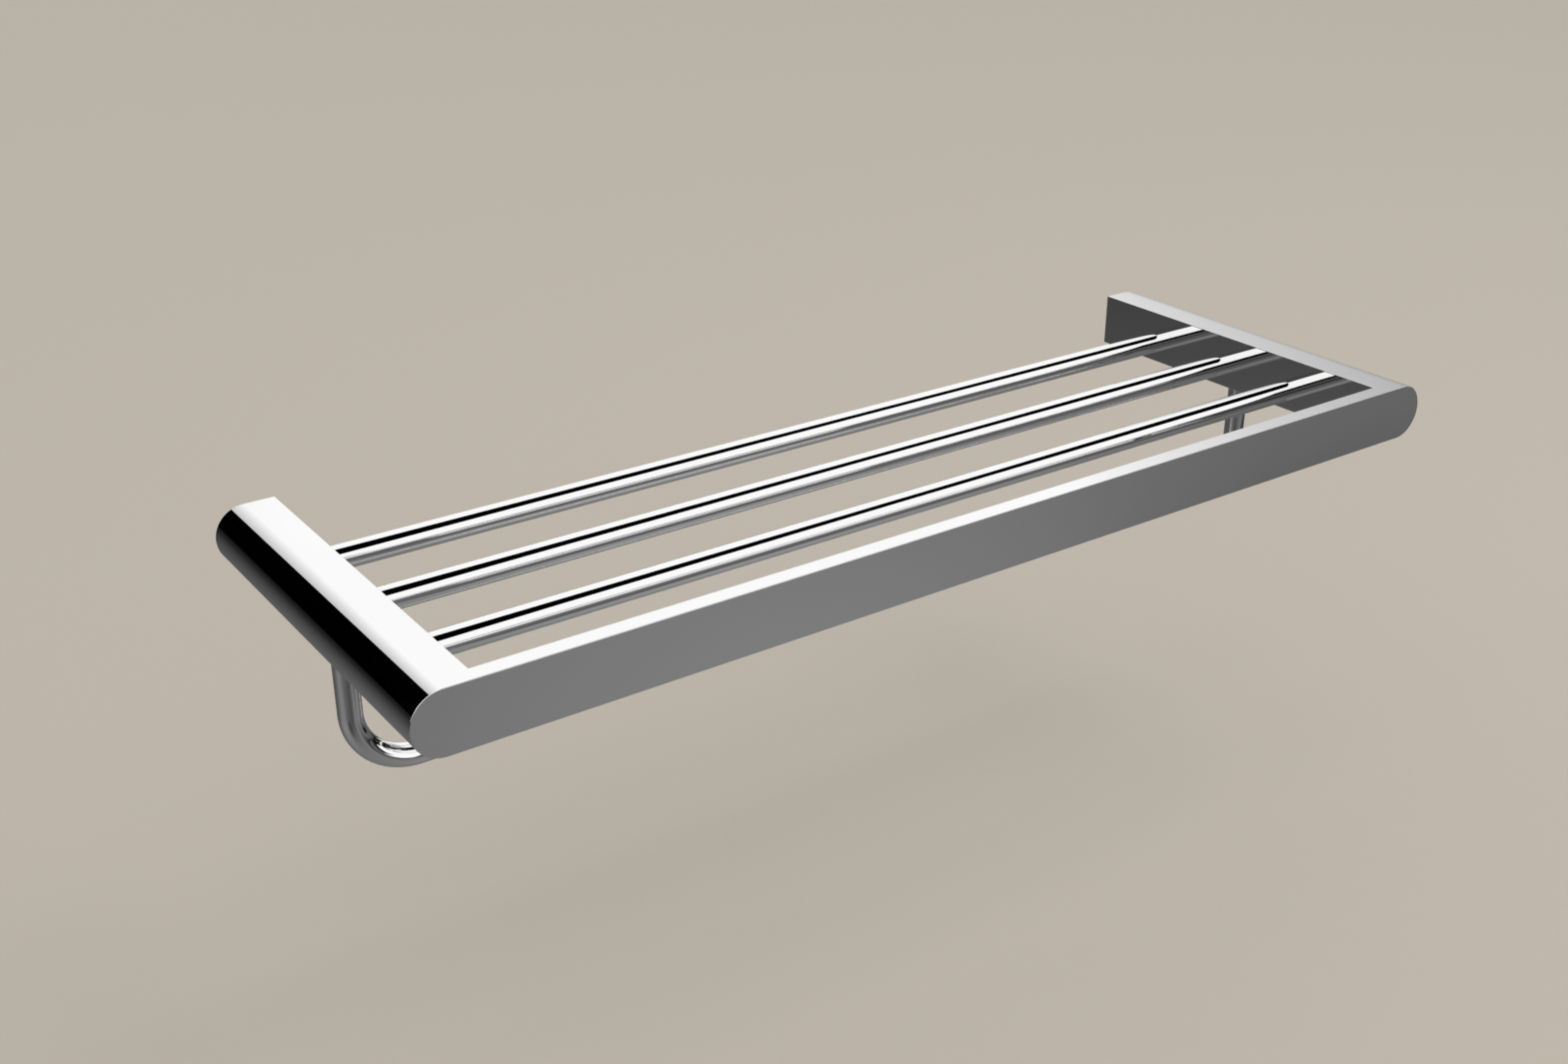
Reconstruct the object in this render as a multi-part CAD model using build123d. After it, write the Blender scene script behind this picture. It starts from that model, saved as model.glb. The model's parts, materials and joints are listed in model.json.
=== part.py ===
from build123d import *
import os

# Towel rack for a bathroom wall: three rods and a front bar carried by two arms, with a towel rail below.
# X runs along the wall, the room lies towards -Y and Z is up. The origin is on the wall plane, midway
# between the arms and at mid height of the arms. Sizes are in millimetres.

# Overall sizes
overall_length = 600.0
overall_depth = 211.0
bar_height = 30.0

# Clearances: radial where pieces slide together, radial on threads and pins, and past the end of a piece
slip_clearance = 0.1
close_clearance = 0.05
end_clearance = 0.3

# Front bar
bar_thickness = 8.5
bar_edge_radius = 0.5

# Arms: a flat inner face and a half-round outer side, cast hollow and open at the wall
arm_width = 30.0
arm_wall = 3.0
arm_front_wall = 6.0
arm_edge_radius = 0.4

# Shelf rods and their sockets in the arms
rod_count = 3
rod_setback = 49.5
rod_front_gap = 51.0
rod_diameter = 12.0
rod_wall = 1.0
socket_depth = 6.0
socket_floor = 2.0
socket_wall = 1.6
ring_section = 1.8
ring_groove_width = 2.2

# Towel rail, a bent tube with a plug in each end
rail_diameter = 11.2
rail_wall = 1.1
rail_drop = 80.0
rail_bend_radius = 30.0
leg_seat_depth = 2.0
spigot_diameter = 8.0
spigot_reach = 12.0
spigot_plug_length = 14.0
spigot_flat_depth = 0.6
spigot_chamfer = 0.6
rail_boss_wall = 2.5
set_screw_diameter = 4.0
set_screw_length = 6.0
set_screw_hex = 2.0
set_screw_hex_depth = 1.8

# Screw and dowels that hold the front bar on each arm
bar_screw_diameter = 5.0
bar_screw_head_diameter = 8.5
bar_screw_head_height = 5.0
bar_screw_hex = 4.0
bar_screw_hex_depth = 2.5
bar_screw_grip = 5.5
bar_screw_head_room = 1.25
dowel_diameter = 4.0
dowel_depth = 4.5
dowel_spread = 14.0
dowel_drop = 6.5

# Wall brackets and the grub screw that locks each arm on its bracket
bracket_depth = 18.0
bracket_gap = 0.2
bracket_base = 4.0
wall_hole_diameter = 4.5
wall_hole_spacing = 10.0
wall_hole_offset = 4.5
wall_screw_head_diameter = 8.4
grub_diameter = 5.0
grub_offset = 6.0
grub_seat_depth = 2.5
grub_recess = 0.4
grub_hex = 2.5
grub_hex_depth = 2.0

# Stations worked out from the sizes above
half_length = overall_length / 2
round_radius = bar_height / 2
round_centre_x = half_length - round_radius
inner_face_x = half_length - arm_width
arm_length = overall_depth - bar_thickness
hollow_length = arm_length - arm_front_wall
rod_radius = rod_diameter / 2
rod_pitch = (arm_length - rod_setback - rod_front_gap) / (rod_count - 1)
rod_stations = [-rod_setback - rod_pitch * i for i in range(rod_count)]
rod_end_x = inner_face_x + socket_depth - end_clearance
ring_radius = ring_section / 2
ring_centre_x = inner_face_x + socket_depth / 2
groove_radius = rod_radius + ring_section + slip_clearance
rail_radius = rail_diameter / 2
rail_y = rod_stations[rod_count // 2]
spigot_radius = spigot_diameter / 2
leg_x = inner_face_x + socket_depth + socket_floor + spigot_radius + slip_clearance
leg_top_z = -round_radius + leg_seat_depth
spigot_top_z = leg_top_z + spigot_reach
set_screw_z = leg_top_z + spigot_reach / 2
spigot_flat_y = rail_y + spigot_radius - spigot_flat_depth
bar_screw_head_radius = bar_screw_head_diameter / 2
bar_screw_z = round_radius - arm_wall - bar_screw_head_radius - bar_screw_head_room
dowel_stations = [round_centre_x - dowel_spread / 2, round_centre_x + dowel_spread / 2]
wall_hole_x = round_centre_x + wall_hole_offset
grub_x = inner_face_x + arm_wall + grub_offset
grub_y = -bracket_depth / 2
grub_tip_z = -round_radius + arm_wall + bracket_gap + grub_seat_depth

FROM_BASE = (Align.CENTER, Align.CENTER, Align.MIN)


def bar_along_x(radius, start, end, y, z):
    """Round bar from one X station to a higher one."""
    return Pos(start, y, z) * Rot(0, 90, 0) * Cylinder(radius, end - start, align=FROM_BASE)


def bar_along_y(radius, back, front, x, z):
    """Round bar from one Y station forward to a lower one."""
    return Pos(x, back, z) * Rot(90, 0, 0) * Cylinder(radius, back - front, align=FROM_BASE)


def bar_along_z(radius, bottom, top, x, y):
    """Round bar from one Z station up to a higher one."""
    return Pos(x, y, bottom) * Cylinder(radius, top - bottom, align=FROM_BASE)


def key_recess(across_flats, depth):
    """Hexagon recess for a key, cut downwards from Z = 0."""
    return extrude(RegularPolygon(across_flats / 2, 6, major_radius=False), amount=-depth)


def arm_section(inset):
    """Section of the right arm: flat towards the rods and half round outside, drawn in by the inset."""
    radius = round_radius - inset
    flat_x = inner_face_x + inset
    sides = Polyline(
        (round_centre_x, radius),
        (flat_x, radius),
        (flat_x, -radius),
        (round_centre_x, -radius),
    )
    crown = ThreePointArc(
        (round_centre_x, -radius),
        (round_centre_x + radius, 0),
        (round_centre_x, radius),
    )
    return Plane.XZ * make_face(sides.edges() + crown.edges())


def rail_boss():
    """Block on the arm's floor that takes the rail's spigot and its set screw."""
    half_width = spigot_radius + slip_clearance + rail_boss_wall
    back_y = spigot_flat_y + set_screw_length
    front_y = rail_y - half_width
    top_z = spigot_top_z + end_clearance + rail_boss_wall
    return Pos(leg_x, back_y, -round_radius) * Box(
        2 * half_width,
        back_y - front_y,
        top_z + round_radius,
        align=(Align.CENTER, Align.MAX, Align.MIN),
    )


def arm():
    """Right arm with its hollow, rod sockets, rail boss and screw holes."""
    body = extrude(arm_section(0), amount=arm_length)
    inner_edges = body.edges().filter_by(Axis.Y).group_by(Axis.X)[0]
    body = fillet(inner_edges, arm_edge_radius)
    hollow = extrude(arm_section(arm_wall), amount=hollow_length)
    hollow -= rail_boss()
    for y in rod_stations:
        hollow -= bar_along_x(
            groove_radius + socket_wall, inner_face_x, inner_face_x + socket_depth + socket_floor, y, 0
        )
    body -= hollow
    for y in rod_stations:
        body -= bar_along_x(rod_radius + slip_clearance, inner_face_x, inner_face_x + socket_depth, y, 0)
        body -= bar_along_x(
            groove_radius,
            ring_centre_x - ring_groove_width / 2,
            ring_centre_x + ring_groove_width / 2,
            y,
            0,
        )
    body -= bar_along_z(rail_radius + slip_clearance, -round_radius, leg_top_z, leg_x, rail_y)
    body -= bar_along_z(
        spigot_radius + slip_clearance, leg_top_z, spigot_top_z + end_clearance, leg_x, rail_y
    )
    body -= bar_along_y(
        set_screw_diameter / 2 + close_clearance,
        spigot_flat_y + set_screw_length,
        rail_y,
        leg_x,
        set_screw_z,
    )
    body -= bar_along_y(
        bar_screw_diameter / 2 + slip_clearance, -hollow_length, -arm_length, round_centre_x, bar_screw_z
    )
    for x in dowel_stations:
        body -= bar_along_y(
            dowel_diameter / 2 + close_clearance,
            -arm_length + dowel_depth + end_clearance,
            -arm_length,
            x,
            -dowel_drop,
        )
    body -= bar_along_z(
        grub_diameter / 2 + close_clearance, -round_radius, -round_radius + arm_wall, grub_x, grub_y
    )
    return body


def front_bar():
    """Flat bar with half-round ends, drilled from behind for its screws and dowels."""
    bar = Plane.XZ.offset(arm_length) * SlotOverall(overall_length, bar_height)
    bar = extrude(bar, amount=bar_thickness)
    bar = fillet(bar.faces().sort_by(Axis.Y)[0].edges(), bar_edge_radius)
    for side in (-1, 1):
        bar -= bar_along_y(
            bar_screw_diameter / 2 + close_clearance,
            -arm_length,
            -arm_length - bar_screw_grip - end_clearance,
            side * round_centre_x,
            bar_screw_z,
        )
        for x in dowel_stations:
            bar -= bar_along_y(
                dowel_diameter / 2 + close_clearance,
                -arm_length,
                -arm_length - dowel_depth - end_clearance,
                side * x,
                -dowel_drop,
            )
    return bar


def shelf_rod(y):
    """Tube between the arms, its ends hidden in their sockets."""
    tube = bar_along_x(rod_radius, -rod_end_x, rod_end_x, y, 0)
    return tube - bar_along_x(rod_radius - rod_wall, -rod_end_x, rod_end_x, y, 0)


def rod_rings():
    """Rubber rings in the socket grooves, which hold the rods without rattle."""
    ring = Rot(0, 90, 0) * Torus(rod_radius + close_clearance + ring_radius, ring_radius)
    return Compound([(Pos(ring_centre_x, y, 0) * ring).solid() for y in rod_stations])


def towel_rail():
    """Tube that leaves one arm's underside, turns along the rack and returns to the other arm."""
    path = FilletPolyline(
        (-leg_x, rail_y, leg_top_z),
        (-leg_x, rail_y, -rail_drop),
        (leg_x, rail_y, -rail_drop),
        (leg_x, rail_y, leg_top_z),
        radius=rail_bend_radius,
    )
    section = Circle(rail_radius) - Circle(rail_radius - rail_wall)
    start = Plane(origin=path @ 0, z_dir=path % 0)
    return sweep(start * section, path=path)


def rail_spigot():
    """Turned plug, fixed in the end of the rail and standing up into the arm."""
    plug_radius = rail_radius - rail_wall - close_clearance
    spigot = bar_along_z(plug_radius, leg_top_z - spigot_plug_length, leg_top_z, leg_x, rail_y)
    spigot += bar_along_z(spigot_radius, leg_top_z, spigot_top_z, leg_x, rail_y)
    spigot = chamfer(spigot.faces().sort_by(Axis.Z)[-1].edges(), spigot_chamfer)
    flat = Pos(leg_x, spigot_flat_y, set_screw_z) * Box(
        spigot_diameter,
        spigot_diameter,
        set_screw_diameter + 2 * spigot_chamfer,
        align=(Align.CENTER, Align.MIN, Align.CENTER),
    )
    return spigot - flat


def rail_set_screw():
    """Headless screw that reaches through the hollow arm and presses on the spigot's flat."""
    back_y = spigot_flat_y + set_screw_length
    screw = bar_along_y(set_screw_diameter / 2, back_y, spigot_flat_y, leg_x, set_screw_z)
    recess = key_recess(set_screw_hex, set_screw_hex_depth)
    return screw - Pos(leg_x, back_y, set_screw_z) * Rot(-90, 0, 0) * recess


def bar_screw():
    """Cap screw inside the hollow arm, which draws the front bar on to the arm's end."""
    head_y = -hollow_length + bar_screw_head_height
    screw = bar_along_y(bar_screw_head_radius, head_y, -hollow_length, round_centre_x, bar_screw_z)
    screw += bar_along_y(
        bar_screw_diameter / 2, -hollow_length, -arm_length - bar_screw_grip, round_centre_x, bar_screw_z
    )
    recess = key_recess(bar_screw_hex, bar_screw_hex_depth)
    return screw - Pos(round_centre_x, head_y, bar_screw_z) * Rot(-90, 0, 0) * recess


def bar_dowels():
    """Two pins, half in the arm and half in the front bar, which keep the two in line."""
    back_y = -arm_length + dowel_depth
    front_y = -arm_length - dowel_depth
    pins = [bar_along_y(dowel_diameter / 2, back_y, front_y, x, -dowel_drop) for x in dowel_stations]
    return Compound([pin.solid() for pin in pins])


def wall_bracket():
    """Block screwed to the wall, over which the open end of the arm slides."""
    block = extrude(arm_section(arm_wall + bracket_gap), amount=bracket_depth)
    for z in (-wall_hole_spacing / 2, wall_hole_spacing / 2):
        block -= bar_along_y(wall_hole_diameter / 2, 0, -bracket_base, wall_hole_x, z)
        block -= bar_along_y(wall_screw_head_diameter / 2, -bracket_base, -bracket_depth, wall_hole_x, z)
    seat_bottom = -round_radius + arm_wall + bracket_gap
    block -= bar_along_z(grub_diameter / 2 + slip_clearance, seat_bottom, grub_tip_z, grub_x, grub_y)
    return block


def grub_screw():
    """Headless screw in the arm's underside, driven up into the bracket's seat."""
    bottom_z = -round_radius + grub_recess
    screw = bar_along_z(grub_diameter / 2, bottom_z, grub_tip_z, grub_x, grub_y)
    recess = key_recess(grub_hex, grub_hex_depth)
    return screw - Pos(grub_x, grub_y, bottom_z) * Rot(180, 0, 0) * recess


pieces = {
    "front_bar": front_bar(),
    "towel_rail": towel_rail(),
}
for number, station in enumerate(rod_stations, start=1):
    pieces[f"shelf_rod_{number}"] = shelf_rod(station)

right_side = {
    "arm": arm(),
    "rod_rings": rod_rings(),
    "rail_spigot": rail_spigot(),
    "rail_set_screw": rail_set_screw(),
    "bar_screw": bar_screw(),
    "bar_dowels": bar_dowels(),
    "wall_bracket": wall_bracket(),
    "grub_screw": grub_screw(),
}
for name, piece in right_side.items():
    pieces["right_" + name] = piece
    pieces["left_" + name] = mirror(piece, about=Plane.YZ)

os.makedirs("parts", exist_ok=True)
for name, piece in pieces.items():
    export_step(piece, f"parts/{name}.step")
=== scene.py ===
import json
import math

import bmesh
import bpy
from mathutils import Matrix, Vector


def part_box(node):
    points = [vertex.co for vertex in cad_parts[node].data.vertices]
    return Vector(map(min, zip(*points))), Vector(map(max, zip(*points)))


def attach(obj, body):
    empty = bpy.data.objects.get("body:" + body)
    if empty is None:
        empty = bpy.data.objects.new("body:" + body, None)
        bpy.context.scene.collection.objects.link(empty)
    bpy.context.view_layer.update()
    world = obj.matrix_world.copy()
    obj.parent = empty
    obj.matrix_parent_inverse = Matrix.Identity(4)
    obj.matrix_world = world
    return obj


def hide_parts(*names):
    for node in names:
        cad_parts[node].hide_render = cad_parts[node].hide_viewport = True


# Towel rack for a bathroom wall, in metres: X runs along the wall, the room lies towards -Y and Z is up.
# The origin is on the wall plane, midway between the arms and at mid height of the arms.
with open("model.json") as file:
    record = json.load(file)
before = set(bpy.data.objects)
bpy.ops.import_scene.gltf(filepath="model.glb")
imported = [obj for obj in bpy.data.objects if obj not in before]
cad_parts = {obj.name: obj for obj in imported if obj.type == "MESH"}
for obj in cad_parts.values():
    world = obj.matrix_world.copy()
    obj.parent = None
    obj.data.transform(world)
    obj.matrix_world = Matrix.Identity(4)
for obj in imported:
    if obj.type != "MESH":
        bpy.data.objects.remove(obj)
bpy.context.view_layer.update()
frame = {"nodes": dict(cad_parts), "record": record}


# Arms: two hollow zinc castings, polished and chrome plated, flat towards the rods and half round
# outside. Bosses inside hold the rods, the rail and the front bar's screw, and the open end at the
# wall slides over a bracket.
arm_low, arm_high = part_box("right_arm")
arm_radius = arm_high.z
crown_axis_x = arm_high.x - arm_radius
arm_wall = 0.003
arm_front_wall = 0.006
arm_edge_radius = 0.0004
edge_steps = 4
round_sides = 192
drill_sides = 64
overcut = 0.001
merge_distance = 1e-7
sharp_angle = math.radians(30)
hidden_clearance = 0.0001
end_clearance = 0.0003

rod_nodes = ["shelf_rod_1", "shelf_rod_2", "shelf_rod_3"]
rod_end_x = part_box(rod_nodes[0])[1].x
rod_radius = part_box(rod_nodes[0])[1].z
socket_clearance = 0.00002
socket_floor = 0.002
ring_groove_radius = 0.0079
ring_groove_width = 0.0022
rod_boss_radius = 0.0095

rail_radius = 0.0056
rail_top_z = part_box("towel_rail")[1].z
spigot_radius = 0.004
spigot_top_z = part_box("right_rail_spigot")[1].z
rail_boss_wall = 0.0025
set_screw_radius = 0.002
bar_screw_radius = 0.0025
dowel_radius = 0.002
grub_radius = 0.0025


def middle_of(node):
    """Middle of a node's box in the frame."""
    low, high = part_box(node)
    return (low + high) / 2


def half_round_outline(flat_x, radius, y):
    """Open outline across the rack: out along the top, round the crown and back underneath."""
    outline = bmesh.new()
    crown = Vector((crown_axis_x, y, 0))
    upright = Matrix.Translation(crown) @ Matrix.Rotation(math.radians(90), 4, "X")
    bmesh.ops.create_circle(outline, segments=round_sides, radius=radius, matrix=upright)
    bmesh.ops.bisect_plane(
        outline,
        geom=outline.verts[:] + outline.edges[:],
        dist=merge_distance,
        plane_co=crown,
        plane_no=(-1, 0, 0),
        clear_outer=True,
    )
    ends = [point for point in outline.verts if len(point.link_edges) == 1]
    drawn = bmesh.ops.extrude_vert_indiv(outline, verts=ends)["verts"]
    bmesh.ops.translate(outline, verts=drawn, vec=(flat_x - crown_axis_x, 0, 0))
    return outline


def drawn_forward(outline, front_y):
    """Fills a closed outline and draws it forward into a block."""
    back = bmesh.ops.contextual_create(outline, geom=outline.edges[:])["faces"]
    back_y = outline.verts[:][0].co.y
    drawn = bmesh.ops.extrude_face_region(outline, geom=back)["geom"]
    front = [part for part in drawn if isinstance(part, bmesh.types.BMVert)]
    bmesh.ops.translate(outline, verts=front, vec=(0, front_y - back_y, 0))
    bmesh.ops.recalc_face_normals(outline, faces=outline.faces[:])
    return outline


def half_round_block(flat_x, radius, back_y, front_y):
    """Block with the arm's section: flat inside, half round outside."""
    outline = half_round_outline(flat_x, radius, back_y)
    ends = [point for point in outline.verts if len(point.link_edges) == 1]
    bmesh.ops.contextual_create(outline, geom=ends)
    return drawn_forward(outline, front_y)


def round_edges(shape, edges, radius):
    """Rounds chosen edges of a shape."""
    bmesh.ops.bevel(
        shape,
        geom=edges,
        offset=radius,
        offset_type="OFFSET",
        affect="EDGES",
        segments=edge_steps,
        profile=0.5,
        material=-1,
    )


def turned(start, direction, profile, sides):
    """Solid turned about a line: the profile's points are (distance along it, radius).
    A profile that keeps off the line is closed into a ring."""
    solid = bmesh.new()
    axis = Vector(direction)
    across = axis.orthogonal().normalized()
    points = [solid.verts.new(Vector(start) + axis * along + across * radius) for along, radius in profile]
    pairs = list(zip(points, points[1:]))
    if profile[0][1] > 0:
        pairs.append((points[-1], points[0]))
    for pair in pairs:
        solid.edges.new(pair)
    bmesh.ops.spin(
        solid,
        geom=solid.verts[:] + solid.edges[:],
        cent=start,
        axis=axis,
        angle=math.radians(360),
        steps=sides,
        use_merge=True,
    )
    bmesh.ops.remove_doubles(solid, verts=solid.verts[:], dist=merge_distance)
    bmesh.ops.recalc_face_normals(solid, faces=solid.faces[:])
    return solid


def round_bar(start, end, radius):
    """Plain round bar between two points, for a boss or a drill."""
    line = Vector(end) - Vector(start)
    profile = [(0, 0), (0, radius), (line.length, radius), (line.length, 0)]
    return turned(start, line.normalized(), profile, drill_sides)


def block_between(low, high):
    """Plain block between two corners."""
    block = bmesh.new()
    low, high = Vector(low), Vector(high)
    place = Matrix.Translation((low + high) / 2) @ Matrix.Diagonal((*(high - low), 1))
    bmesh.ops.create_cube(block, size=1, matrix=place)
    return block


def as_object(name, shape):
    """Turns a finished shape into an object in the scene."""
    mesh = bpy.data.meshes.new(name)
    shape.to_mesh(mesh)
    shape.free()
    thing = bpy.data.objects.new(name, mesh)
    bpy.context.scene.collection.objects.link(thing)
    return thing


def cut_away(shape, cutters):
    """Takes the cutters' volumes out of a shape, as drills and mould cores do."""
    whole = as_object("uncut", shape)
    tools = [as_object("cutter", cutter) for cutter in cutters]
    for tool in tools:
        cut = whole.modifiers.new("cut", "BOOLEAN")
        cut.operation = "DIFFERENCE"
        cut.solver = "EXACT"
        cut.object = tool
    result = bmesh.new()
    result.from_object(whole, bpy.context.evaluated_depsgraph_get())
    for used in [whole, *tools]:
        mesh = used.data
        bpy.data.objects.remove(used)
        bpy.data.meshes.remove(mesh)
    return result


def other_side(shape):
    """Mirror image of a right-hand shape, for the left."""
    image = shape.copy()
    bmesh.ops.scale(image, vec=(-1, 1, 1), verts=image.verts[:])
    bmesh.ops.reverse_faces(image, faces=image.faces[:])
    return image


def add_piece(name, shape, finish, node):
    """Puts a shape in the scene as a piece of the rack that stands for a node."""
    piece = as_object(name, shape)
    piece.data.materials.append(finish)
    piece.data.shade_smooth()
    piece.data.set_sharp_from_angle(angle=sharp_angle)
    piece.modifiers.new("level_flats", "WEIGHTED_NORMAL").keep_sharp = True
    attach(piece, "root")
    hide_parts(node)


cloud_low = 0.3
cloud_high = 0.7


def mottle(material, scale, detail, stretch=(1, 1, 1)):
    """Cloudy pattern over a piece, at so many clouds to the metre, longer where the stretch is small."""
    nodes = material.node_tree.nodes
    link = material.node_tree.links.new
    place = nodes.new("ShaderNodeTexCoord")
    turn = nodes.new("ShaderNodeMapping")
    turn.inputs["Scale"].default_value = stretch
    clouds = nodes.new("ShaderNodeTexNoise")
    clouds.inputs["Scale"].default_value = scale
    clouds.inputs["Detail"].default_value = detail
    link(place.outputs["Object"], turn.inputs["Vector"])
    link(turn.outputs["Vector"], clouds.inputs["Vector"])
    return clouds.outputs["Fac"]


def tint(material, pattern, dark, light):
    """Colours a surface between two tones, as its pattern runs."""
    nodes = material.node_tree.nodes
    tones = nodes.new("ShaderNodeValToRGB")
    tones.color_ramp.elements[0].position = cloud_low
    tones.color_ramp.elements[0].color = (*dark, 1)
    tones.color_ramp.elements[1].position = cloud_high
    tones.color_ramp.elements[1].color = (*light, 1)
    material.node_tree.links.new(pattern, tones.inputs["Fac"])
    material.node_tree.links.new(tones.outputs["Color"], nodes["Principled BSDF"].inputs["Base Color"])


def gloss(material, pattern, smooth, rough):
    """Varies a surface's roughness between two values, as its pattern runs."""
    nodes = material.node_tree.nodes
    span = nodes.new("ShaderNodeMapRange")
    span.inputs["From Min"].default_value = cloud_low
    span.inputs["From Max"].default_value = cloud_high
    span.inputs["To Min"].default_value = smooth
    span.inputs["To Max"].default_value = rough
    material.node_tree.links.new(pattern, span.inputs["Value"])
    material.node_tree.links.new(span.outputs["Result"], nodes["Principled BSDF"].inputs["Roughness"])


def relief(material, pattern, height):
    """Raises a surface by a pattern, up to a height in metres."""
    nodes = material.node_tree.nodes
    bump = nodes.new("ShaderNodeBump")
    bump.inputs["Distance"].default_value = height
    material.node_tree.links.new(pattern, bump.inputs["Height"])
    material.node_tree.links.new(bump.outputs["Normal"], nodes["Principled BSDF"].inputs["Normal"])


def metal(name):
    """New bare metal, ready for its tint, gloss and relief."""
    material = bpy.data.materials.new(name)
    material.use_nodes = True
    material.node_tree.nodes["Principled BSDF"].inputs["Metallic"].default_value = 1.0
    return material


def chrome_plate():
    """Bright chrome: nearly neutral and mirror smooth, with faint wiping marks and polishing waves."""
    plate = metal("polished_chrome")
    tint(plate, mottle(plate, scale=9, detail=2), dark=(0.945, 0.946, 0.944), light=(0.962, 0.962, 0.958))
    gloss(plate, mottle(plate, scale=30, detail=5, stretch=(0.4, 1, 1)), smooth=0.015, rough=0.04)
    relief(plate, mottle(plate, scale=45, detail=1), height=0.000004)
    return plate


def arm_hollow():
    """Core of the arm's mould: the hollow, less the bosses for the rods and for the rail."""
    flat_x = arm_low.x + arm_wall
    hollow = half_round_block(flat_x, arm_radius - arm_wall, overcut, arm_low.y + arm_front_wall)
    bosses = []
    for node in rod_nodes:
        start = Vector((arm_low.x, middle_of(node).y, 0))
        end = Vector((rod_end_x + end_clearance + socket_floor, start.y, 0))
        bosses.append(round_bar(start, end, rod_boss_radius))
    leg = middle_of("right_rail_spigot")
    reach = spigot_radius + hidden_clearance + rail_boss_wall
    boss_low = (leg.x - reach, leg.y - reach, arm_low.z)
    boss_back_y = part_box("right_rail_set_screw")[1].y
    boss_high = (leg.x + reach, boss_back_y, spigot_top_z + end_clearance + rail_boss_wall)
    bosses.append(block_between(boss_low, boss_high))
    return cut_away(hollow, bosses)


def rod_socket(y):
    """Drill for one rod's socket, with the groove for its rubber ring."""
    ring_x = middle_of("right_rod_rings").x
    depth = rod_end_x + end_clearance - arm_low.x
    groove_start = ring_x - ring_groove_width / 2 - arm_low.x
    groove_end = groove_start + ring_groove_width
    bore = rod_radius + socket_clearance
    profile = [
        (-overcut, 0),
        (-overcut, bore),
        (groove_start, bore),
        (groove_start, ring_groove_radius),
        (groove_end, ring_groove_radius),
        (groove_end, bore),
        (depth, bore),
        (depth, 0),
    ]
    return turned((arm_low.x, y, 0), (1, 0, 0), profile, round_sides)


def rail_seat():
    """Stepped drill in the arm's underside for the end of the rail and its spigot."""
    leg = middle_of("right_rail_spigot")
    seat_depth = rail_top_z - arm_low.z
    spigot_depth = spigot_top_z + end_clearance - arm_low.z
    bore = spigot_radius + hidden_clearance
    profile = [
        (-overcut, 0),
        (-overcut, rail_radius + socket_clearance),
        (seat_depth, rail_radius + socket_clearance),
        (seat_depth, bore),
        (spigot_depth, bore),
        (spigot_depth, 0),
    ]
    return turned((leg.x, leg.y, arm_low.z), (0, 0, 1), profile, round_sides)


def dowel_holes():
    """Drills for the two dowels between the arm and the front bar."""
    low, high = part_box("right_bar_dowels")
    height = (low.z + high.z) / 2
    holes = []
    for x in (low.x + dowel_radius, high.x - dowel_radius):
        front = Vector((x, low.y - end_clearance, height))
        back = Vector((x, high.y + end_clearance, height))
        holes.append(round_bar(front, back, dowel_radius + hidden_clearance))
    return holes


def bar_screw_hole():
    """Drill for the screw that draws the front bar on to the arm."""
    screw = middle_of("right_bar_screw")
    front = Vector((screw.x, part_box("right_bar_screw")[0].y - end_clearance, screw.z))
    back = Vector((screw.x, arm_low.y + arm_front_wall + overcut, screw.z))
    return round_bar(front, back, bar_screw_radius + hidden_clearance)


def right_arm():
    """Right arm, cast, bored and drilled."""
    arm = half_round_block(arm_low.x, arm_radius, arm_high.y, arm_low.y)
    inner = [
        edge
        for edge in arm.edges
        if all(abs(point.co.x - arm_low.x) < overcut for point in edge.verts)
        and abs(edge.verts[0].co.y - edge.verts[1].co.y) > overcut
    ]
    round_edges(arm, inner, arm_edge_radius)
    set_screw = middle_of("right_rail_set_screw")
    set_screw_back = set_screw + Vector((0, arm_front_wall, 0))
    set_screw_front = Vector((set_screw.x, middle_of("right_rail_spigot").y, set_screw.z))
    grub = middle_of("right_grub_screw")
    grub_foot = Vector((grub.x, grub.y, arm_low.z - overcut))
    cutters = [arm_hollow(), rail_seat(), bar_screw_hole(), *dowel_holes()]
    cutters += [rod_socket(middle_of(node).y) for node in rod_nodes]
    cutters.append(round_bar(set_screw_front, set_screw_back, set_screw_radius + hidden_clearance))
    cutters.append(round_bar(grub_foot, grub, grub_radius + socket_clearance))
    return cut_away(arm, cutters)


chrome = chrome_plate()
arm_shape = right_arm()
add_piece("left_arm_casting", other_side(arm_shape), chrome, "left_arm")
add_piece("right_arm_casting", arm_shape, chrome, "right_arm")


# Shelf rods: three straight brass tubes, chrome plated, whose ends sit in the arms' sockets. A rubber
# ring in a groove round each end grips the tube, so that it neither turns nor rattles.
rod_wall = 0.001
rod_end_chamfer = 0.0003


def shelf_rod(y):
    """Tube between the arms, with its ends broken inside and out."""
    bore = rod_radius - rod_wall
    length = 2 * rod_end_x
    profile = [
        (0, bore + rod_end_chamfer),
        (0, rod_radius - rod_end_chamfer),
        (rod_end_chamfer, rod_radius),
        (length - rod_end_chamfer, rod_radius),
        (length, rod_radius - rod_end_chamfer),
        (length, bore + rod_end_chamfer),
        (length - rod_end_chamfer, bore),
        (rod_end_chamfer, bore),
    ]
    return turned((-rod_end_x, y, 0), (1, 0, 0), profile, round_sides)


def ring_rubber():
    """Black nitrile rubber: matt, with a fine moulded grain."""
    rubber = bpy.data.materials.new("black_rubber")
    rubber.use_nodes = True
    tint(rubber, mottle(rubber, scale=150, detail=3), dark=(0.012, 0.012, 0.013), light=(0.03, 0.03, 0.031))
    gloss(rubber, mottle(rubber, scale=400, detail=4), smooth=0.55, rough=0.75)
    relief(rubber, mottle(rubber, scale=2500, detail=2), height=0.00002)
    return rubber


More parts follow.
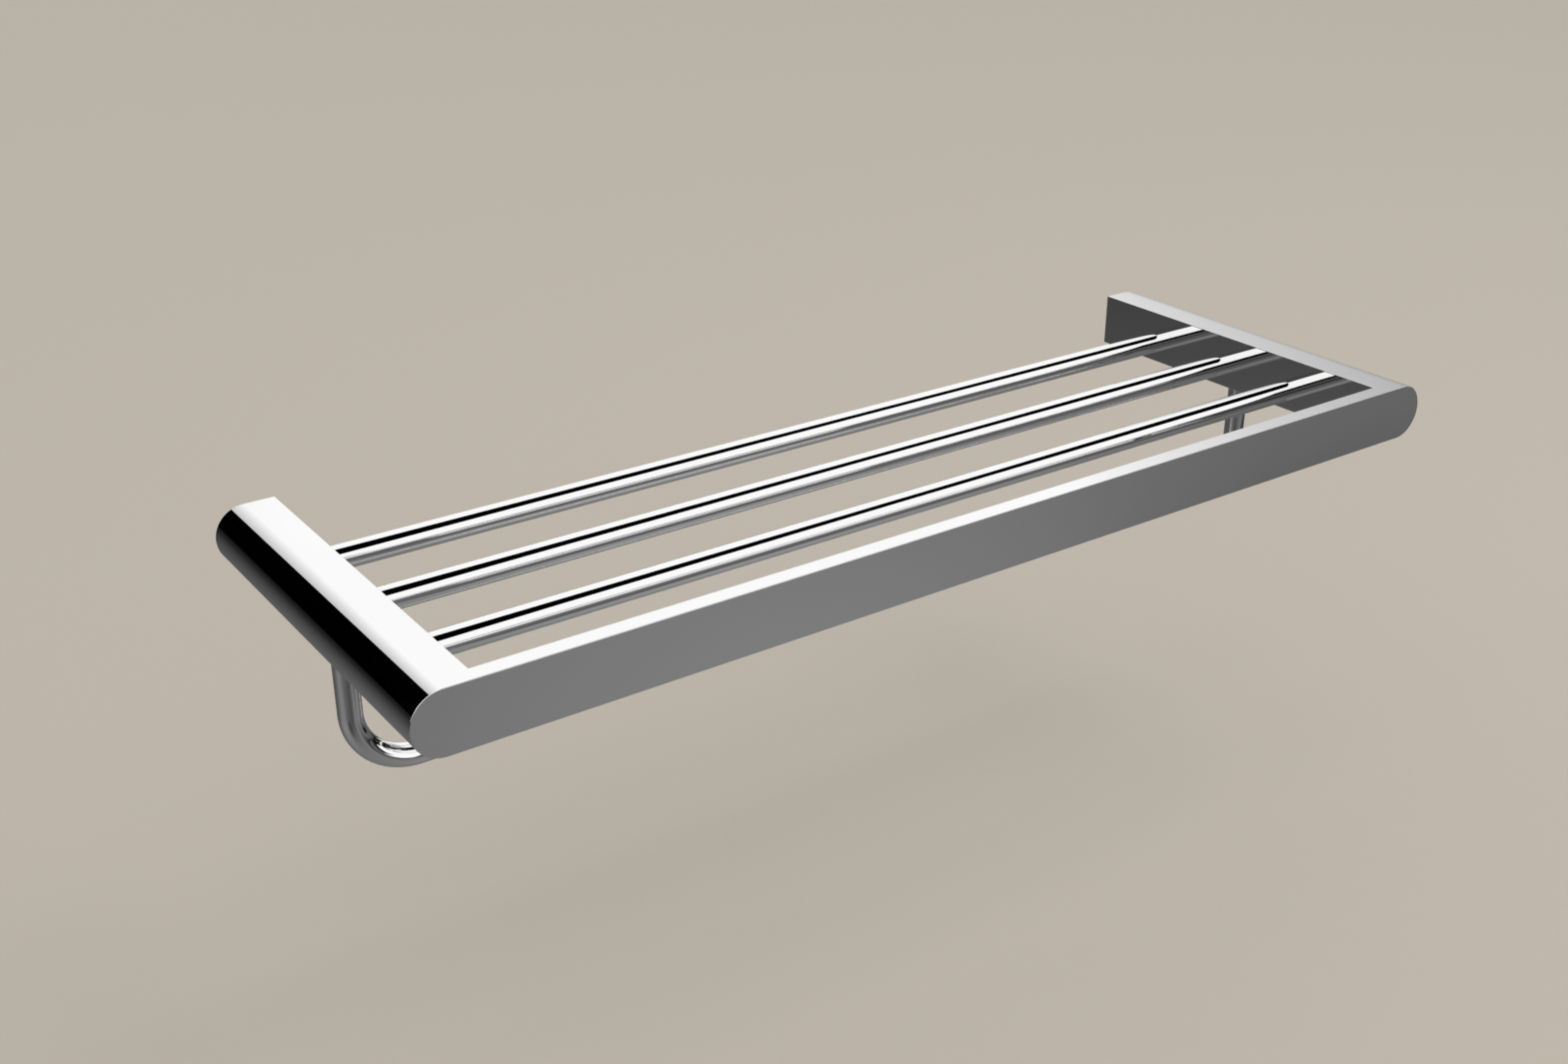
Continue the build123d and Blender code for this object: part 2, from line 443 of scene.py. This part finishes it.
def finish_nodes(nodes, finish):
    """Gives a finish to pieces whose CAD shape stays."""
    for node in nodes:
        frame["nodes"][node].material_slots[0].material = finish


for rod_node in rod_nodes:
    add_piece(rod_node + "_tube", shelf_rod(middle_of(rod_node).y), chrome, rod_node)
finish_nodes(["left_rod_rings", "right_rod_rings"], ring_rubber())


# Front bar: a flat brass bar with half-round ends, chrome plated and flush with the arms all round. A
# cap screw inside each arm draws it on, and two steel dowels a side keep it in line.
bar_low, bar_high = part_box("front_bar")
bar_edge_radius = 0.0003
bar_seam_distance = 1e-6


def front_bar():
    """Bar with a softened front edge, drilled from behind."""
    outline = half_round_outline(0, arm_radius, bar_high.y)
    everything = outline.verts[:] + outline.edges[:]
    bmesh.ops.mirror(
        outline,
        geom=everything,
        matrix=Matrix.Identity(4),
        merge_dist=bar_seam_distance,
        axis="X",
    )
    bar = drawn_forward(outline, bar_low.y)
    front_edges = [
        edge
        for edge in bar.edges
        if all(abs(point.co.y - bar_low.y) < overcut for point in edge.verts)
    ]
    round_edges(bar, front_edges, bar_edge_radius)
    right_holes = [bar_screw_hole(), *dowel_holes()]
    left_holes = [other_side(hole) for hole in right_holes]
    return cut_away(bar, right_holes + left_holes)


def screw_steel():
    """Plain steel of screws and pins: grey and satin, with fine turning lines round it."""
    steel = metal("turned_steel")
    tint(steel, mottle(steel, scale=300, detail=3), dark=(0.40, 0.40, 0.41), light=(0.52, 0.52, 0.52))
    gloss(steel, mottle(steel, scale=900, detail=4), smooth=0.25, rough=0.42)
    relief(steel, mottle(steel, scale=1500, detail=2, stretch=(0.1, 1, 0.1)), height=0.00001)
    return steel


steel = screw_steel()
add_piece("front_bar_plate", front_bar(), chrome, "front_bar")
finish_nodes(["left_bar_screw", "right_bar_screw", "left_bar_dowels", "right_bar_dowels"], steel)


# Towel rail: a brass tube, bent to a wide U and chrome plated, that hangs below the rods. A turned
# brass spigot in each end stands up into the arm, where a set screw presses on its flat.
rail_wall = 0.0011
rail_bend_radius = 0.03
rail_bend_steps = 48


def towel_rail():
    """Tube drawn down from the right arm, bent along the rack and bent up again to the left arm."""
    leg = middle_of("right_rail_spigot")
    low_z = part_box("towel_rail")[0].z + rail_radius
    bend_x = leg.x - rail_bend_radius
    bend_z = low_z + rail_bend_radius
    tube = bmesh.new()
    top = Matrix.Translation((leg.x, leg.y, rail_top_z))
    bmesh.ops.create_circle(tube, segments=round_sides // 2, radius=rail_radius, matrix=top)
    rim = tube.edges[:]

    def straight(rim, run):
        drawn = bmesh.ops.extrude_edge_only(tube, edges=rim)["geom"]
        ends = [part for part in drawn if isinstance(part, bmesh.types.BMVert)]
        bmesh.ops.translate(tube, verts=ends, vec=run)
        return [part for part in drawn if isinstance(part, bmesh.types.BMEdge)]

    def bend(rim, centre_x):
        spun = bmesh.ops.spin(
            tube,
            geom=rim,
            cent=(centre_x, leg.y, bend_z),
            axis=(0, 1, 0),
            angle=math.radians(90),
            steps=rail_bend_steps,
        )
        return [part for part in spun["geom_last"] if isinstance(part, bmesh.types.BMEdge)]

    rim = straight(rim, (0, 0, bend_z - rail_top_z))
    rim = bend(rim, bend_x)
    rim = straight(rim, (-2 * bend_x, 0, 0))
    rim = bend(rim, -bend_x)
    straight(rim, (0, 0, rail_top_z - bend_z))
    bmesh.ops.remove_doubles(tube, verts=tube.verts[:], dist=merge_distance)
    bmesh.ops.recalc_face_normals(tube, faces=tube.faces[:])
    bmesh.ops.solidify(tube, geom=tube.faces[:], thickness=rail_wall)
    return tube


def spigot_brass():
    """Bare turned brass: warm yellow, with the lathe's lines round it."""
    brass = metal("turned_brass")
    tint(brass, mottle(brass, scale=220, detail=3), dark=(0.62, 0.43, 0.17), light=(0.78, 0.57, 0.27))
    gloss(brass, mottle(brass, scale=700, detail=4), smooth=0.2, rough=0.34)
    relief(brass, mottle(brass, scale=1800, detail=2, stretch=(0.1, 0.1, 1)), height=0.00001)
    return brass


add_piece("towel_rail_tube", towel_rail(), chrome, "towel_rail")
finish_nodes(["left_rail_spigot", "right_rail_spigot"], spigot_brass())
finish_nodes(["left_rail_set_screw", "right_rail_set_screw"], steel)


# Wall brackets: two zinc-plated steel blocks with the section of the arms' hollow, each held to the
# wall by two screws whose heads sink into it. The arms slide over them.
bracket_low, bracket_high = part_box("right_wall_bracket")
bracket_edge_radius = 0.0004
bracket_base = 0.004
wall_holes = next(mount for mount in frame["record"]["mounts"] if mount["name"] == "wall_screws")["dims"]
millimetres_in_metre = 1000
wall_hole_radius = wall_holes["hole_r_mm"] / millimetres_in_metre
wall_hole_x = wall_holes["spacing_x_mm"] / 2 / millimetres_in_metre
wall_hole_z = wall_holes["spacing_y_mm"] / 2 / millimetres_in_metre
wall_screw_head_radius = 0.0042


def wall_bracket():
    """Right bracket, with its screw holes and the seat for the grub screw."""
    block = half_round_block(bracket_low.x, bracket_high.z, bracket_high.y, bracket_low.y)
    front_edges = [
        edge
        for edge in block.edges
        if all(abs(point.co.y - bracket_low.y) < overcut for point in edge.verts)
    ]
    round_edges(block, front_edges, bracket_edge_radius)
    depth = bracket_high.y - bracket_low.y
    profile = [
        (-overcut, 0),
        (-overcut, wall_hole_radius),
        (bracket_base, wall_hole_radius),
        (bracket_base, wall_screw_head_radius),
        (depth + overcut, wall_screw_head_radius),
        (depth + overcut, 0),
    ]
    cutters = [
        turned((wall_hole_x, bracket_high.y, z), (0, -1, 0), profile, drill_sides)
        for z in (-wall_hole_z, wall_hole_z)
    ]
    grub_low, grub_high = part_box("right_grub_screw")
    foot = Vector((middle_of("right_grub_screw").x, middle_of("right_grub_screw").y, grub_low.z))
    seat = Vector((foot.x, foot.y, grub_high.z))
    cutters.append(round_bar(foot, seat, grub_radius + hidden_clearance))
    return cut_away(block, cutters)


def zinc_plate():
    """Zinc plate on steel: blue-grey and satin, with the crystals' faint patches and a pressed grain."""
    zinc = metal("zinc_plate")
    tint(zinc, mottle(zinc, scale=160, detail=4), dark=(0.50, 0.51, 0.53), light=(0.66, 0.67, 0.68))
    gloss(zinc, mottle(zinc, scale=320, detail=5), smooth=0.28, rough=0.46)
    relief(zinc, mottle(zinc, scale=1200, detail=3), height=0.00002)
    return zinc


zinc = zinc_plate()
bracket_shape = wall_bracket()
add_piece("left_bracket_block", other_side(bracket_shape), zinc, "left_wall_bracket")
add_piece("right_bracket_block", bracket_shape, zinc, "right_wall_bracket")


# Grub screws: a headless steel screw in each arm's underside, turned with a key from below until its
# tip sits in the bracket, which locks the arm on.
grub_low, grub_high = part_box("right_grub_screw")
grub_chamfer = 0.0005
grub_key_flats = 0.0025
grub_key_radius = grub_key_flats / 2 / math.cos(math.radians(30))
grub_key_depth = 0.002


def grub_screw():
    """Right grub screw, chamfered at both ends, with a hexagon recess for its key."""
    middle = middle_of("right_grub_screw")
    foot = Vector((middle.x, middle.y, grub_low.z))
    length = grub_high.z - grub_low.z
    profile = [
        (0, 0),
        (0, grub_radius - grub_chamfer),
        (grub_chamfer, grub_radius),
        (length - grub_chamfer, grub_radius),
        (length, grub_radius - grub_chamfer),
        (length, 0),
    ]
    screw = turned(foot, (0, 0, 1), profile, drill_sides)
    key = bmesh.new()
    bmesh.ops.create_cone(
        key,
        cap_ends=True,
        segments=6,
        radius1=grub_key_radius,
        radius2=grub_key_radius,
        depth=2 * grub_key_depth,
        matrix=Matrix.Translation(foot),
    )
    return cut_away(screw, [key])


grub_shape = grub_screw()
add_piece("left_grub_screw_turned", other_side(grub_shape), steel, "left_grub_screw")
add_piece("right_grub_screw_turned", grub_shape, steel, "right_grub_screw")


# Floor: plain, pale and matt, a little below the rail, where it takes the rack's soft shadow. Mirror
# reflections leave it out, because a neutral grey card stands for it there, and from below it is clear.
floor_z = -0.24
floor_reach = 30
floor_colour = (0.47, 0.425, 0.365, 1)
floor_roughness = 0.9
floor_shine = 0.1

floor_shape = bmesh.new()
floor_place = Matrix.Translation((0, 0, floor_z))
bmesh.ops.create_grid(floor_shape, x_segments=1, y_segments=1, size=floor_reach, matrix=floor_place)
floor = as_object("floor", floor_shape)
floor_paint = bpy.data.materials.new("matt_floor")
floor_paint.use_nodes = True
floor_nodes = floor_paint.node_tree.nodes
floor_shader = floor_nodes["Principled BSDF"]
floor_shader.inputs["Base Color"].default_value = floor_colour
floor_shader.inputs["Roughness"].default_value = floor_roughness
floor_shader.inputs["Specular IOR Level"].default_value = floor_shine
floor_side = floor_nodes.new("ShaderNodeNewGeometry")
floor_clear = floor_nodes.new("ShaderNodeBsdfTransparent")
floor_choice = floor_nodes.new("ShaderNodeMixShader")
floor_link = floor_paint.node_tree.links.new
floor_link(floor_side.outputs["Backfacing"], floor_choice.inputs["Fac"])
floor_link(floor_shader.outputs["BSDF"], floor_choice.inputs[1])
floor_link(floor_clear.outputs["BSDF"], floor_choice.inputs[2])
floor_link(floor_choice.outputs["Shader"], floor_nodes["Material Output"].inputs["Surface"])
floor.data.materials.append(floor_paint)
floor.visible_glossy = False


# Studio cards: flat cards and black flags, most of them a long way off, as a photographer sets round
# chrome. Only mirror reflections show them, and they give the plate its dark lines and grey faces.
card_distance = 10.0
card_low_z = -1.8
no_light = 0.0
full_light = 1.0


def studio_card(name, corners):
    """Flat card between corners that only mirrors show, with an emission shader for its light."""
    shape = bmesh.new()
    shape.faces.new([shape.verts.new(corner) for corner in corners])
    card = as_object(name, shape)
    light = bpy.data.materials.new(name)
    light.use_nodes = True
    nodes = light.node_tree.nodes
    nodes.remove(nodes["Principled BSDF"])
    glow = nodes.new("ShaderNodeEmission")
    glow.inputs["Strength"].default_value = no_light
    light.node_tree.links.new(glow.outputs["Emission"], nodes["Material Output"].inputs["Surface"])
    card.data.materials.append(light)
    card.visible_camera = False
    card.visible_diffuse = False
    card.visible_transmission = False
    card.visible_shadow = False
    return light, glow


def graded_card(name, corners, axis, start, end):
    """Card whose light runs evenly along an axis, from (place, light) at its start to its end."""
    light, glow = studio_card(name, corners)
    nodes = light.node_tree.nodes
    link = light.node_tree.links.new
    place = nodes.new("ShaderNodeTexCoord")
    along = nodes.new("ShaderNodeVectorMath")
    along.operation = "DOT_PRODUCT"
    along.inputs[1].default_value = Vector(axis).normalized()
    span = nodes.new("ShaderNodeMapRange")
    span.inputs["From Min"].default_value = start[0]
    span.inputs["To Min"].default_value = start[1]
    span.inputs["From Max"].default_value = end[0]
    span.inputs["To Max"].default_value = end[1]
    link(place.outputs["Object"], along.inputs[0])
    link(along.outputs["Value"], span.inputs["Value"])
    link(span.outputs["Result"], glow.inputs["Strength"])


# The overhead flag runs off to the right and draws the dark line along the rods and the rail. Each
# station is its distance to the right and the places of its front and rear edges there.
overhead_stations = [
    (2.6, -11.2, 2.8),
    (5.2, -6.7, 1.7),
    (8.0, -5.6, 0.9),
    (10.3, -6.3, 2.0),
    (12.3, -6.3, 2.6),
    (13.8, -4.0, 5.0),
    (80.0, -21.0, 40.0),
]
overhead_front = [(x, front_y, card_distance) for x, front_y, rear_y in overhead_stations]
overhead_rear = [(x, rear_y, card_distance) for x, front_y, rear_y in reversed(overhead_stations)]
studio_card("overhead_flag", overhead_front + overhead_rear)

# The left flag blackens the crown of the left arm, and the grey card beside it shades the crown's top.
# A dark grey card carries the flag on to the left, where the right arm's inner face mirrors it.
rear_reach_x = -40.0
left_flag_start_x = -8.5
left_flag_end_x = -1.5
rear_card_end_x = 3.1
rear_top_z = 36.0
dark_card_far_light = 0.05
dark_card_near_light = 0.055
left_flag_low_light = 0.03
left_flag_black_z = 0.2
rear_card_left_light = 0.57


def along_wall(y, low_x, high_x, top_z):
    """Corners of an upright card that runs along the wall, between two places on it."""
    return [
        (low_x, y, card_low_z),
        (high_x, y, card_low_z),
        (high_x, y, top_z),
        (low_x, y, top_z),
    ]


graded_card(
    "dark_card",
    along_wall(card_distance, rear_reach_x, left_flag_start_x, rear_top_z),
    axis=(1, 0, 0),
    start=(rear_reach_x, dark_card_far_light),
    end=(left_flag_start_x, dark_card_near_light),
)
graded_card(
    "left_flag",
    along_wall(card_distance, left_flag_start_x, left_flag_end_x, rear_top_z),
    axis=(0, 0, 1),
    start=(card_low_z, left_flag_low_light),
    end=(left_flag_black_z, no_light),
)
graded_card(
    "rear_card",
    along_wall(card_distance, left_flag_end_x, rear_card_end_x, rear_top_z),
    axis=(1, 0, 0),
    start=(left_flag_end_x, rear_card_left_light),
    end=(rear_card_end_x, full_light),
)

# The low flag on the left darkens what the right arm's inner face mirrors of the rods.
low_flag_front_y = -14.0
low_flag_rear_y = -5.0
low_flag_top_z = 5.0


def out_from_wall(x, front_y, rear_y, low_z, top_z):
    """Corners of an upright card that runs out from the wall, between two places and two heights."""
    return [
        (x, front_y, low_z),
        (x, rear_y, low_z),
        (x, rear_y, top_z),
        (x, front_y, top_z),
    ]


studio_card(
    "low_flag",
    out_from_wall(-card_distance, low_flag_front_y, low_flag_rear_y, card_low_z, low_flag_top_z),
)

# The right cards grey the top of the right arm and the right end of the front bar's top, and the lower
# one the edge of the arm's crown. A low flag beside it darkens the inside of the rail's left bend.
right_rear_y = 9.7
right_split_y = 5.8
right_card_front_y = 0.0
right_flag_front_y = -4.0
right_split_z = 3.9
right_top_z = 7.5
right_flag_top_z = 0.85
right_card_slope = (0, 0.10, 0.13)
right_card_start = 5.8
right_card_start_light = 0.275
right_card_end = 10.65
right_low_front_light = 0.401
right_low_rear_light = 0.757
right_flag_dark_y = 0.0
right_flag_dark_light = 0.004
right_flag_rear_light = 0.035
graded_card(
    "right_card",
    out_from_wall(card_distance, right_card_front_y, right_rear_y, right_split_z, right_top_z),
    axis=right_card_slope,
    start=(right_card_start, right_card_start_light),
    end=(right_card_end, full_light),
)
graded_card(
    "right_low_card",
    out_from_wall(card_distance, right_split_y, right_rear_y, card_low_z, right_split_z),
    axis=(0, 1, 0),
    start=(right_split_y, right_low_front_light),
    end=(right_rear_y, right_low_rear_light),
)
graded_card(
    "right_flag",
    out_from_wall(card_distance, right_flag_front_y, right_split_y, card_low_z, right_flag_top_z),
    axis=(0, 1, 0),
    start=(right_flag_dark_y, right_flag_dark_light),
    end=(right_split_y, right_flag_rear_light),
)

# The front cards grey the front bar for a level view. Each station is a place along the wall and its light.
front_top_z = 4.0
front_stations = [(-4.4, full_light), (-2.6, 0.30), (2.6, 0.16), (3.4, full_light)]
for station, next_station in zip(front_stations, front_stations[1:]):
    graded_card(
        "front_card",
        along_wall(-card_distance, station[0], next_station[0], front_top_z),
        axis=(1, 0, 0),
        start=station,
        end=next_station,
    )

# The near flag below the rack's front draws the dark line under the white of the rods. It lies so close
# that, from the camera, the front bar's face mirrors only what is beyond it.
near_flag_left_x = -0.1
near_flag_right_x = 0.7
near_flag_front_y = -0.553
near_flag_rear_y = -0.36
near_flag_z = -0.25
near_flag_rear_light = 0.18
near_flag_corners = [
    (near_flag_left_x, near_flag_front_y, near_flag_z),
    (near_flag_right_x, near_flag_front_y, near_flag_z),
    (near_flag_right_x, near_flag_rear_y, near_flag_z),
    (near_flag_left_x, near_flag_rear_y, near_flag_z),
]
graded_card(
    "near_flag",
    near_flag_corners,
    axis=(0, 1, 0),
    start=(near_flag_front_y, no_light),
    end=(near_flag_rear_y, near_flag_rear_light),
)

# The grey card below fills the upright faces: bright under the rack's front and fading with distance.
# A wedge-shaped gap at the front right leaves white for the rods' lower bands. Pools on the left and under
# the rods are lighter. Three are darker: below the camera, on the right and where the mirrored rods are.
grey_z = -1.0
grey_reach = 40.0
grey_front_y = -4.2
grey_rear_y = 9.9
grey_right_rear_y = 4.2
grey_step_x = 1.0
grey_gap_x = (1.45, 2.9)
grey_gap_end_x = (13.8, 28.0)
grey_corners = [
    (-grey_reach, -grey_reach, grey_z),
    (grey_gap_end_x[0], -grey_reach, grey_z),
    (grey_gap_x[0], grey_front_y, grey_z),
    (grey_gap_x[1], grey_front_y, grey_z),
    (grey_gap_end_x[1], -grey_reach, grey_z),
    (grey_reach, -grey_reach, grey_z),
    (grey_reach, grey_right_rear_y, grey_z),
    (grey_step_x, grey_right_rear_y, grey_z),
    (-grey_step_x, grey_rear_y, grey_z),
    (-grey_reach, grey_rear_y, grey_z),
]
grey_card, grey_glow = studio_card("grey_card", grey_corners)


def chained(material, socket, operation, value, swapped=False):
    """Works a value out from a socket and a number."""
    step = material.node_tree.nodes.new("ShaderNodeMath")
    step.operation = operation
    step.inputs[0 if swapped else 1].default_value = value
    material.node_tree.links.new(socket, step.inputs[1 if swapped else 0])
    return step.outputs["Value"]


def pool(material, x, y, spread, fade, light):
    """Pool on the grey card, full at its middle and half as strong at its spread. Below 0 it darkens."""
    nodes = material.node_tree.nodes
    place = nodes.new("ShaderNodeTexCoord")
    away = nodes.new("ShaderNodeVectorMath")
    away.operation = "DISTANCE"
    away.inputs[1].default_value = (x, y, grey_z)
    material.node_tree.links.new(place.outputs["Object"], away.inputs[0])
    share = chained(material, away.outputs["Value"], "DIVIDE", spread)
    share = chained(material, share, "POWER", fade)
    share = chained(material, share, "ADD", 1.0)
    return chained(material, share, "DIVIDE", light, swapped=True)


wide_fade = 1.62
short_fade = 4.0
front_pool = pool(grey_card, x=1.42, y=-0.77, spread=1.39, fade=wide_fade, light=0.441)
left_pool = pool(grey_card, x=-1.66, y=-0.18, spread=0.83, fade=short_fade, light=0.12)
camera_pool = pool(grey_card, x=-0.40, y=-1.77, spread=0.50, fade=short_fade, light=-0.067)
rod_pool = pool(grey_card, x=-1.03, y=-1.09, spread=0.34, fade=short_fade, light=-0.085)
right_pool = pool(grey_card, x=1.91, y=-0.60, spread=1.02, fade=short_fade, light=-0.309)
under_pool = pool(grey_card, x=0.46, y=-0.45, spread=0.32, fade=short_fade, light=0.065)
grey_sum = front_pool
for grey_pool in (left_pool, camera_pool, rod_pool, right_pool, under_pool):
    grey_add = grey_card.node_tree.nodes.new("ShaderNodeMath")
    grey_card.node_tree.links.new(grey_sum, grey_add.inputs[0])
    grey_card.node_tree.links.new(grey_pool, grey_add.inputs[1])
    grey_sum = grey_add.outputs["Value"]
grey_sum = chained(grey_card, grey_sum, "MAXIMUM", no_light)
grey_card.node_tree.links.new(grey_sum, grey_glow.inputs["Strength"])


# Light: an even white room, and one broad lamp in front for the shadow on the floor. The room's left half
# is darker for what is mirrored three times or more, which draws the mirrored rods at the right end.
deep_mirroring = 3
deep_light = 0.1
world = bpy.data.worlds.new("white_room")
world.use_nodes = True
world_nodes = world.node_tree.nodes
world_nodes["Background"].inputs["Color"].default_value = (1, 1, 1, 1)
world_path = world_nodes.new("ShaderNodeLightPath")
world_place = world_nodes.new("ShaderNodeTexCoord")
world_axes = world_nodes.new("ShaderNodeSeparateXYZ")
world.node_tree.links.new(world_place.outputs["Generated"], world_axes.inputs["Vector"])
world_deep = chained(world, world_path.outputs["Glossy Depth"], "GREATER_THAN", deep_mirroring - 0.5)
world_left = chained(world, world_axes.outputs["X"], "LESS_THAN", 0.0)
world_fade = world_nodes.new("ShaderNodeMath")
world_fade.operation = "MULTIPLY"
world.node_tree.links.new(world_deep, world_fade.inputs[0])
world.node_tree.links.new(world_left, world_fade.inputs[1])
world_light = chained(world, world_fade.outputs["Value"], "MULTIPLY", full_light - deep_light)
world_light = chained(world, world_light, "SUBTRACT", full_light, swapped=True)
world.node_tree.links.new(world_light, world_nodes["Background"].inputs["Strength"])
bpy.context.scene.world = world

lamp_place = Vector((1.0, -1.3, 2.2))
lamp_target = Vector((0, -0.1, 0))
lamp_size = 1.2
lamp_power = 13
lamp = bpy.data.lights.new("broad_lamp", "AREA")
lamp.size = lamp_size
lamp.energy = lamp_power
broad_lamp = bpy.data.objects.new("broad_lamp", lamp)
broad_lamp.location = lamp_place
broad_lamp.rotation_euler = (lamp_target - lamp_place).to_track_quat("-Z", "Y").to_euler()
broad_lamp.visible_glossy = False
bpy.context.scene.collection.objects.link(broad_lamp)


# Camera: at the photograph's own viewpoint, ahead of the rack's left end and above it.
camera_place = Vector((-0.52233, -0.7689, 0.35335))
camera_azimuth = math.radians(-35.298)
camera_elevation = math.radians(24.763)
camera_lens = 41.399
camera_sensor = 36.0

lens = bpy.data.cameras.new("camera")
lens.lens = camera_lens
lens.sensor_width = camera_sensor
camera = bpy.data.objects.new("camera", lens)
sight = Vector((
    -math.sin(camera_azimuth) * math.cos(camera_elevation),
    math.cos(camera_azimuth) * math.cos(camera_elevation),
    -math.sin(camera_elevation),
))
camera.location = camera_place
camera.rotation_euler = sight.to_track_quat("-Z", "Y").to_euler()
bpy.context.scene.collection.objects.link(camera)
bpy.context.scene.camera = camera
bpy.context.scene.view_settings.view_transform = "Standard"
